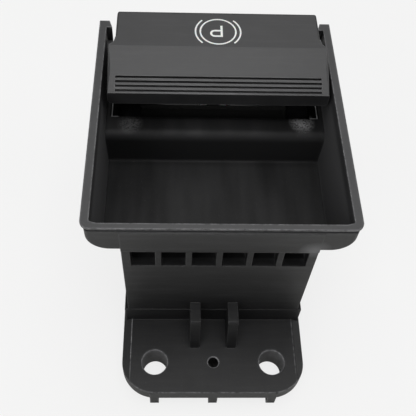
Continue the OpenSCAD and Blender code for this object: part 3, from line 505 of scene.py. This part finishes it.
# %% Rubber, acetal and epoxy
def soft_finish(name, dark, light, rough, width_mm, bump_mm, subsurface=0.0, ior=1.5):
    """Dull moulded material: a two-tone cloud, an even gloss and a small bump."""
    material, tree, shader, place = new_finish(name)
    cloud = add_node(tree, "ShaderNodeTexNoise", {
        "Vector": place, "Scale": grain_scale(width_mm), "Detail": 5.0, "Roughness": 0.6})
    tone = ramp(tree, cloud.outputs["Fac"], 0.3, 0.7, linear(dark), linear(light))
    tree.links.new(tone, shader.inputs["Base Color"])
    spread = add_node(tree, "ShaderNodeMapRange", {
        "Value": cloud.outputs["Fac"], "To Min": rough - 0.06, "To Max": rough + 0.06})
    tree.links.new(spread.outputs["Result"], shader.inputs["Roughness"])
    shader.inputs["IOR"].default_value = ior
    shader.inputs["Subsurface Weight"].default_value = subsurface
    shader.inputs["Subsurface Scale"].default_value = 1.0 * MM
    bump = add_node(tree, "ShaderNodeBump", {
        "Height": cloud.outputs["Fac"], "Strength": 0.3, "Distance": bump_mm * MM})
    tree.links.new(bump.outputs["Normal"], shader.inputs["Normal"])
    return material


# %% [markdown]
# The circuit board is glass-epoxy under green solder mask. Copper tracks under the mask
# show as slightly raised, lighter lines. A brick pattern gives straight runs with gaps,
# which is what routed tracks look like from a step away.

# %% Circuit board finish
def solder_mask():
    """Green mask over tracks: a brick pattern raises and lightens the runs."""
    material, tree, shader, place = new_finish("green_solder_mask")
    runs = add_node(tree, "ShaderNodeTexBrick", {
        "Vector": place, "Scale": 1.0, "Mortar Size": 0.25 * MM, "Brick Width": 7.0 * MM,
        "Row Height": 1.6 * MM, "Color1": linear("#1f7a3d"), "Color2": linear("#1b6e37"),
        "Mortar": linear("#2f9455")})
    weave = add_node(tree, "ShaderNodeTexNoise", {"Vector": place, "Scale": grain_scale(0.5)})
    tree.links.new(runs.outputs["Color"], shader.inputs["Base Color"])
    rough = add_node(tree, "ShaderNodeMapRange", {
        "Value": weave.outputs["Fac"], "To Min": 0.22, "To Max": 0.36})
    tree.links.new(rough.outputs["Result"], shader.inputs["Roughness"])
    bump = add_node(tree, "ShaderNodeBump", {
        "Height": runs.outputs["Fac"], "Strength": 0.4, "Distance": 0.04 * MM})
    tree.links.new(bump.outputs["Normal"], shader.inputs["Normal"])
    return material


# %% Finishes by node
plated_steel = drawn_metal("zinc_plated_steel", "#c9cacb", "#a5a7aa", 0.22, 0.36, (0.03, 1, 1))
music_wire = drawn_metal("oiled_music_wire", "#8d8f93", "#6d6f73", 0.25, 0.4, (1, 1, 1), 0.2)
bronze = drawn_metal("phosphor_bronze", "#d29a6a", "#b57c4e", 0.24, 0.36, (1, 0.05, 1))
tin = drawn_metal("tinned_brass", "#d8d6cd", "#bdbab0", 0.3, 0.45, (1, 1, 1), 0.3)
nylon = smooth_nylon()

FINISHES = {
    "tray_housing": grained_nylon(),
    "lever_cover": satin_abs(),
    "lever_frame": nylon,
    "switch_case": nylon,
    "case_cover": nylon,
    "brake_symbol": white_polycarbonate(),
    "light_guide": clear_acrylic(),
    "lever_axle": plated_steel,
    "case_screws": plated_steel,
    "left_return_spring": music_wire,
    "right_return_spring": music_wire,
    "cover_clips": music_wire,
    "push_stop_pads": soft_finish("moulded_rubber", "#161616", "#242423", 0.8, 1.2, 0.05),
    "slider": soft_finish("natural_acetal", "#e4e2d8", "#f0eee6", 0.38, 2.0, 0.02, 0.2, 1.48),
    "wiper_contacts": bronze,
    "contact_tracks": bronze,
    "circuit_board": solder_mask(),
    "indicator_lamp": clear_acrylic("lamp_resin", "#f2ecd0"),
    "control_chip": soft_finish("black_epoxy", "#1b1b1c", "#262627", 0.55, 0.5, 0.03),
    "board_parts": tin,
    "connector_pins": tin,
}
FINISHES["pull_stop_pads"] = FINISHES["push_stop_pads"]
for name, material in FINISHES.items():
    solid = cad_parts[name]
    solid.data.materials.clear()
    solid.data.materials.append(material)
for name, width in BEVELS.items():
    round_edges(name, width)
print("finishes:", len(FINISHES), "rounded:", len(BEVELS))

# %% [markdown]
# The two return springs come as coarse tubes that were made for fit. Seen from the open
# rear they need a round wire, so each is swept again as one surface. The wire's centre is
# a straight leg up from the deck, four turns round the axle and a straight leg up to the
# lever. The legs meet the coil in its own direction, so there is no kink.

# %% Sweep a round wire along a path
def swept_wire(name, path, radius, sides=14):
    """Rings path + radius * (cos b * across + sin b * lift), with across and lift square to it.

    across is the X axis with its part along the path taken off, so the rings never twist
    on a wire that winds round X. lift is the path's direction crossed with across.
    """
    path = np.asarray(path)
    ahead = np.gradient(path, axis=0)
    ahead /= np.linalg.norm(ahead, axis=1, keepdims=True)
    across = np.array([1.0, 0.0, 0.0]) - ahead * ahead[:, :1]
    across /= np.linalg.norm(across, axis=1, keepdims=True)
    lift = np.cross(ahead, across)
    b = np.linspace(0, 2 * math.pi, sides, endpoint=False)[None, :, None]
    rings = path[:, None] + radius * (np.cos(b) * across[:, None] + np.sin(b) * lift[:, None])
    i, j = np.meshgrid(np.arange(len(path) - 1), np.arange(sides), indexing="ij")
    near, far = i * sides + j, i * sides + (j + 1) % sides
    walls = np.stack([near, far, far + sides, near + sides], axis=-1).reshape(-1, 4)
    last = (len(path) - 1) * sides
    ends = [list(range(sides))[::-1], list(range(last, last + sides))]
    mesh = bpy.data.meshes.new(name)
    mesh.from_pydata(rings.reshape(-1, 3).tolist(), [], walls.tolist() + ends)
    for face in mesh.polygons:
        face.use_smooth = len(face.vertices) == 4
    piece = bpy.data.objects.new(name, mesh)
    scene.collection.objects.link(piece)
    return piece


# %% Both return springs
def spring_path(node, wire, turns=4, steps=44):
    """Leg, helix (x0 + p a / 2 pi, y0 + R cos a, z0 + R sin a) and leg, in the node's box."""
    low, high = (np.array(c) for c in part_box(node))
    axis_z = AXLE_MM[1] * MM
    coil_r = high[1] - wire - AXLE_MM[0] * MM
    pitch = (high[0] - low[0] - 2 * wire) / turns
    a = np.linspace(0, 2 * math.pi * turns, turns * steps + 1)
    coil = np.stack([
        low[0] + wire + pitch * a / (2 * math.pi),
        AXLE_MM[0] * MM + coil_r * np.cos(a),
        axis_z + coil_r * np.sin(a)], axis=1)
    rise = np.linspace(0, 1, 9)[:, None]
    foot = np.array([coil[0, 0], coil[0, 1], low[2]])
    tip = np.array([coil[-1, 0], coil[-1, 1], high[2]])
    return np.concatenate([
        foot + (coil[0] - foot) * rise[:-1], coil, coil[-1] + (tip - coil[-1]) * rise[1:]])


AXLE_MM = (81.5, 55.5)
WIRE = 0.4 * MM
for side_name in ("left", "right"):
    node = side_name + "_return_spring"
    spring = swept_wire(side_name + "_spring_wire", spring_path(node, WIRE), WIRE)
    spring.data.materials.append(music_wire)
    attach(spring, "base")
    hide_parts(node)
    print(spring.name, "faces:", len(spring.data.polygons))

# %% [markdown]
# Below the lever a soft black rubber sheet lies on the case over the slot of the slider. It
# is a dark sheet put there as painted shade: it hides the pale slider, so that the slot
# reads dark under the lever. It is a thin moulded sheet with a bead along its sides, lower in
# the middle, and a raised lip at its rear, just in front of the lever's tongue. Its top is a
# height field, and the underside and the walls close it.

# %% Rubber sheet over the slot, as painted shade
def sheet_height(u, v):
    """Thickness in mm at u across and v along (-1 to 1): sagging sheet, side beads, rear lip."""
    sheet = 0.3 - 0.08 * np.cos(u * math.pi / 2) * np.cos(v * math.pi / 2)
    beads = 0.25 * np.exp(-((np.abs(u) - 0.97) / 0.012) ** 2)
    lip = 1.15 * np.exp(-((v - 0.94) / 0.05) ** 2)
    return sheet + beads + lip


def closed_sheet(name, low, high, height, nu=121, nv=41):
    """Solid between z = low z and z + height(u, v) over a rectangle, as one closed mesh."""
    u, v = np.meshgrid(np.linspace(-1, 1, nu), np.linspace(-1, 1, nv), indexing="ij")
    x = low[0] + (high[0] - low[0]) * (u + 1) / 2
    y = low[1] + (high[1] - low[1]) * (v + 1) / 2
    top = np.stack([x, y, low[2] + height(u, v) * MM], axis=-1).reshape(-1, 3)
    under = np.stack([x, y, np.full_like(x, low[2])], axis=-1).reshape(-1, 3)
    i, j = np.meshgrid(np.arange(nu - 1), np.arange(nv - 1), indexing="ij")
    a = (i * nv + j).ravel()
    upper = np.stack([a, a + nv, a + nv + 1, a + 1], axis=1)
    lower = upper[:, ::-1] + nu * nv
    loop = np.concatenate([
        np.arange(nu) * nv, (nu - 1) * nv + np.arange(1, nv),
        np.arange(nu - 2, -1, -1) * nv + nv - 1, np.arange(nv - 2, 0, -1)])
    after = np.roll(loop, -1)
    walls = np.stack([loop + nu * nv, after + nu * nv, after, loop], axis=1)
    mesh = bpy.data.meshes.new(name)
    mesh.from_pydata(np.concatenate([top, under]).tolist(), [], np.concatenate([upper, lower, walls]).tolist())
    piece = bpy.data.objects.new(name, mesh)
    scene.collection.objects.link(piece)
    return piece


case_low, case_high = (np.array(c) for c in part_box("switch_case"))
PLATE_TOP = case_high[2]
# A dark rubber sheet as painted shade over the slot.
shade_sheet = closed_sheet(
    "slot_shade_sheet", (-23 * MM, 62.3 * MM, PLATE_TOP + 0.02 * MM), (23 * MM, 71.6 * MM, PLATE_TOP), sheet_height)
for face in shade_sheet.data.polygons:
    face.use_smooth = abs(face.normal.z) > 0.5
shade_sheet.data.materials.append(FINISHES["push_stop_pads"])
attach(shade_sheet, "base")
print("seal faces:", len(shade_sheet.data.polygons), "on the case at z = %.2f mm" % (PLATE_TOP / MM))

# %% [markdown]
# The studio: a pale floor at the foot's seat and soft lights all round, the largest one
# straight above. Their levels were found by rendering the model with each light alone and
# solving for the mix that gives the photo's tones in some thirty flat regions. Black
# plastic shows mostly reflections, so the size and place of the lights shape the object.
# The floor is seen by the camera nearly white, but still takes the shadow.

# %% Floor and lights
def floor_finish():
    """Pale diffuse floor, lifted towards white only for rays from the camera."""
    material, tree, shader, place = new_finish("pale_floor")
    mottle = add_node(tree, "ShaderNodeTexNoise", {"Vector": place, "Scale": 20.0})
    tone = ramp(tree, mottle.outputs["Fac"], 0.3, 0.7, linear("#ececea"), linear("#f0f0ee"))
    tree.links.new(tone, shader.inputs["Base Color"])
    shader.inputs["Roughness"].default_value = 0.9
    path = add_node(tree, "ShaderNodeLightPath")
    seen = add_node(tree, "ShaderNodeMath", {
        0: path.outputs["Is Camera Ray"], 1: path.outputs["Is Transmission Ray"]}, operation="MAXIMUM")
    share = add_node(tree, "ShaderNodeMath", {0: seen.outputs["Value"], 1: 0.85}, operation="MULTIPLY")
    white = add_node(tree, "ShaderNodeEmission", {"Color": linear("#f8f8f8"), "Strength": 1.0})
    mix = add_node(tree, "ShaderNodeMixShader", {
        "Fac": share.outputs["Value"], 1: shader.outputs["BSDF"], 2: white.outputs["Emission"]})
    out = tree.nodes["Material Output"]
    tree.links.new(mix.outputs["Shader"], out.inputs["Surface"])
    return material


floor_mesh = bpy.data.meshes.new("floor")
side = 1.5
corners = [(-side, -side, 0), (side, -side, 0), (side, side, 0), (-side, side, 0)]
floor_mesh.from_pydata([(x, y, -0.02 * MM) for x, y, z in corners], [], [(0, 1, 2, 3)])
floor = bpy.data.objects.new("floor", floor_mesh)
floor.data.materials.append(floor_finish())
scene.collection.objects.link(floor)


def soft_light(name, place_mm, aim_mm, size_mm, watts):
    """Square area light at a place, turned so that its -Z looks at the aim point."""
    data = bpy.data.lights.new(name, "AREA")
    data.size = size_mm * MM
    data.energy = watts
    light = bpy.data.objects.new(name, data)
    place = Vector(place_mm) * MM
    light.location = place
    light.rotation_euler = (Vector(aim_mm) * MM - place).to_track_quat("-Z", "Y").to_euler()
    scene.collection.objects.link(light)
    return light


CENTRE_MM = (0, 30, 35)
soft_light("overhead", (0, 30, 640), CENTRE_MM, 420, 1.65)
soft_light("rear", (40, 400, 480), CENTRE_MM, 420, 0.75)
soft_light("front_left", (-320, -360, 330), CENTRE_MM, 320, 0.85)
soft_light("front_top", (140, -290, 510), CENTRE_MM, 360, 0.36)
soft_light("right_low", (560, 60, 260), CENTRE_MM, 320, 0.9)
soft_light("left_low", (-560, 60, 260), CENTRE_MM, 320, 0.6)

world = bpy.data.worlds.new("studio")
world.use_nodes = True
scene.world = world
sky = world.node_tree.nodes["Background"]
sky.inputs["Color"].default_value = linear("#ffffff")
sky.inputs["Strength"].default_value = 0.06
